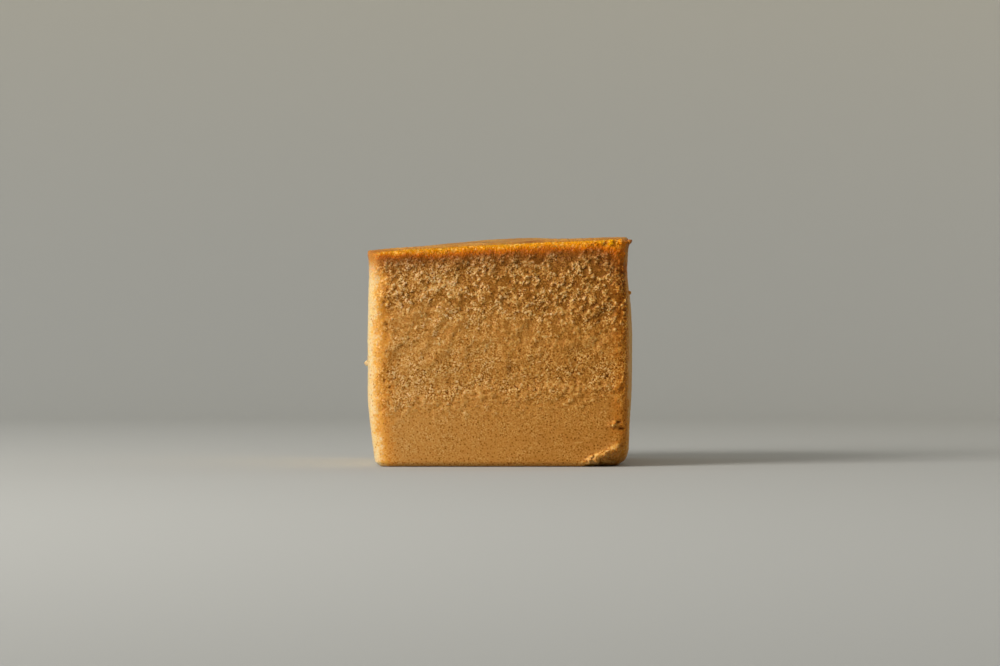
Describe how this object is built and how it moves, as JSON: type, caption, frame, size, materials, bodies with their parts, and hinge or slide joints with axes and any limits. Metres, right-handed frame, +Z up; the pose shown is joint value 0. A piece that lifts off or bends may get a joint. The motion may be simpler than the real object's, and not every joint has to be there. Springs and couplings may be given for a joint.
{
  "type": "cheesecake block",
  "caption": "Upright block cut from a baked loaf cheesecake, with a browned sloping top, torn airy crumb over dense custard on its cut faces, and a flat base to stand on.",
  "frame": {"origin": "middle of the bounding box at the base, on the surface that the block stands on", "axes": "+Z up, +Y from the near cut face to the far cut face, +X to the right as the near cut face is seen"},
  "size_m": [0.0622, 0.0662, 0.0533],
  "materials": {
    "baked_crumb": "baked cheesecake: moist tan crumb with fine pores on the cuts, golden sides and an amber browned skin on top"
  },
  "bodies": {
    "root": {"cheesecake": "baked_crumb"}
  },
  "joints": []
}
